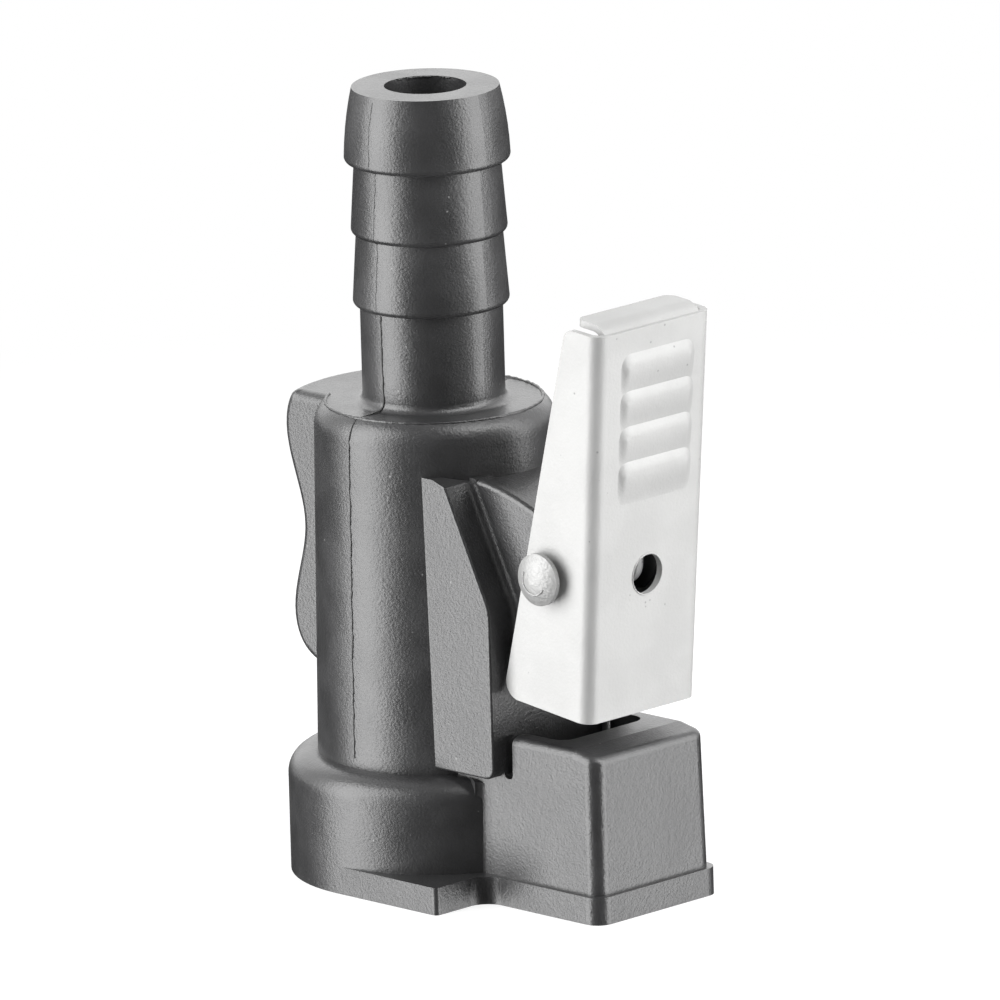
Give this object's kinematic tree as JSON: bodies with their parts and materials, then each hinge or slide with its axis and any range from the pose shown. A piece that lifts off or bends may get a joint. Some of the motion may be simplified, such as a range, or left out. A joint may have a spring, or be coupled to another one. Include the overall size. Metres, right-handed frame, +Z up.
{
  "type": "quick disconnect coupling",
  "caption": "Upright moulded plastic fuel-hose coupling with a hose barb on top, a spring valve in its bore and a stamped steel latch lever at its side.",
  "frame": {"origin": "on the bore's axis, in the plane of the mating face at the foot", "axes": "+Z up the bore towards the hose, +X from the bore towards the lever, +Y the short way across"},
  "size_m": [0.0328, 0.0218, 0.0553],
  "materials": {
    "moulded_plastic": "fine moulded grain, satin",
    "stamped_steel": "bright satin, tumbled",
    "rivet_steel": "satin, plated",
    "spring_steel": "drawn wire",
    "valve_plastic": "smooth moulded",
    "seal_rubber": "moulded"
  },
  "bodies": {
    "housing": {"housing": "moulded_plastic", "seal_retainer": "valve_plastic", "port_seal": "seal_rubber", "valve_seat": "valve_plastic", "lever_spring": "spring_steel", "valve_spring": "spring_steel"},
    "lever": {"lever": "stamped_steel", "pivot_rivet": "rivet_steel"},
    "poppet": {"poppet": "valve_plastic", "poppet_seal": "seal_rubber"}
  },
  "joints": [
    {"name": "lever_pivot", "type": "hinge", "parent": "housing", "child": "lever", "pos_m": [0.0159, 0, 0.0239], "axis": [0, -1, 0], "range_deg": [0, 10], "stiffness_Nm_per_rad": 0.016, "springref_deg": -22.92, "deforming": ["lever_spring"]},
    {"name": "poppet_slide", "type": "slide", "parent": "housing", "child": "poppet", "axis": [0, 0, 1], "range_m": [0, 0.003], "stiffness_N_per_m": 1200, "springref_m": -0.004, "deforming": ["valve_spring"]}
  ]
}
